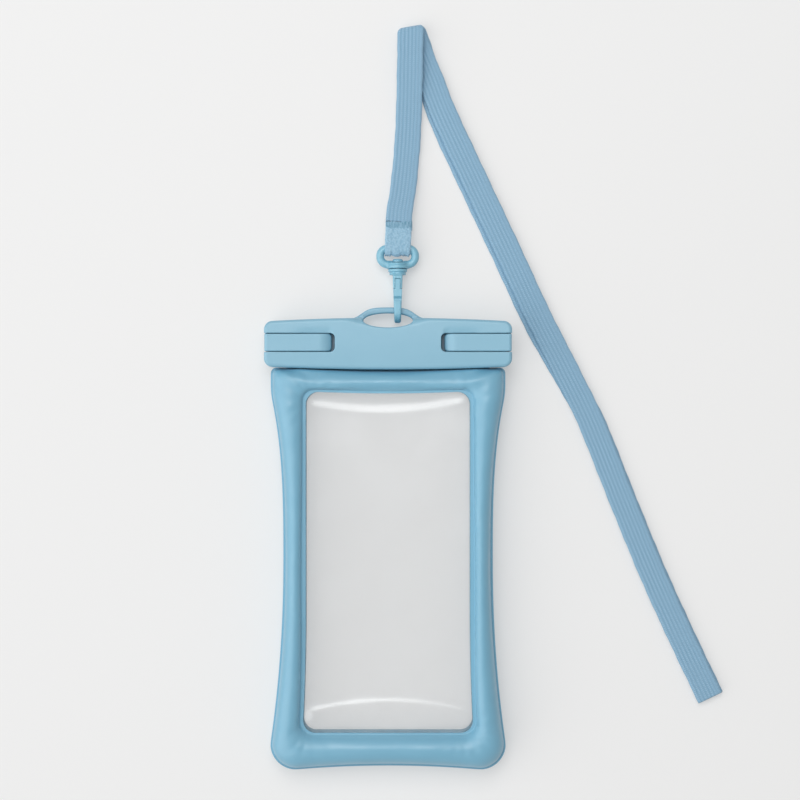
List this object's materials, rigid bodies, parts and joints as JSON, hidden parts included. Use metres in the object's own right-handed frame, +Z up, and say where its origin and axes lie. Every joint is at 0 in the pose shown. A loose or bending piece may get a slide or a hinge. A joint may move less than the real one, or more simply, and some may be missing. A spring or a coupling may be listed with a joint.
{
  "type": "waterproof phone case",
  "caption": "Floating waterproof phone case: inflated frame round clear windows, clamp bar with flip latches and an eyelet, swivel snap hook and flat webbing lanyard.",
  "frame": {"origin": "on the surface that the case lies on, below the middle of the case without its hook and lanyard", "axes": "+X to the case's right, +Y from its bottom to the eyelet, +Z up out of its front window"},
  "size_m": [0.217, 0.3514, 0.0198],
  "materials": {
    "clamp_plastic": "soft satin moulding, light blue",
    "frame_vinyl": "satin inflated vinyl, light blue",
    "window_film": "clear glossy film",
    "seal_rubber": "soft dark rubber",
    "pin_steel": "plain bright steel",
    "hook_acetal": "semi-gloss moulding, light blue",
    "lanyard_webbing": "knitted flat webbing, blue"
  },
  "bodies": {
    "case": {"back_bar": "clamp_plastic", "front_bar": "clamp_plastic", "latch_pin_left": "pin_steel", "latch_pin_right": "pin_steel", "seal_strip_back": "seal_rubber", "seal_strip_front": "seal_rubber", "air_frame": "frame_vinyl", "front_window": "window_film", "back_window": "window_film", "swivel_ring": "hook_acetal", "lanyard_outer_strand": "lanyard_webbing", "lanyard_inner_strand": "lanyard_webbing", "lanyard_sewn_end": "lanyard_webbing"},
    "left_latch": {"latch_left": "clamp_plastic"},
    "right_latch": {"latch_right": "clamp_plastic"},
    "hook": {"hook_body": "hook_acetal", "gate_pin": "pin_steel"},
    "gate": {"hook_gate": "hook_acetal"}
  },
  "joints": [
    {"name": "latch_left_hinge", "type": "hinge", "parent": "case", "child": "left_latch", "pos_m": [-0.0552, 0.092, 0.0052], "axis": [0, -1, 0], "range_deg": [0, 100]},
    {"name": "latch_right_hinge", "type": "hinge", "parent": "case", "child": "right_latch", "pos_m": [0.0552, 0.092, 0.0052], "axis": [0, 1, 0], "range_deg": [0, 100]},
    {"name": "hook_swivel", "type": "hinge", "parent": "case", "child": "hook", "pos_m": [0.0045, 0.1271, 0.0052], "axis": [0, 1, 0], "range_deg": [-18, 18]},
    {"name": "hook_gate_hinge", "type": "hinge", "parent": "hook", "child": "gate", "pos_m": [0.0045, 0.1202, 0.0081], "axis": [1, 0, 0], "range_deg": [0, 22], "stiffness_Nm_per_rad": 0.01, "springref_deg": -5.73}
  ]
}
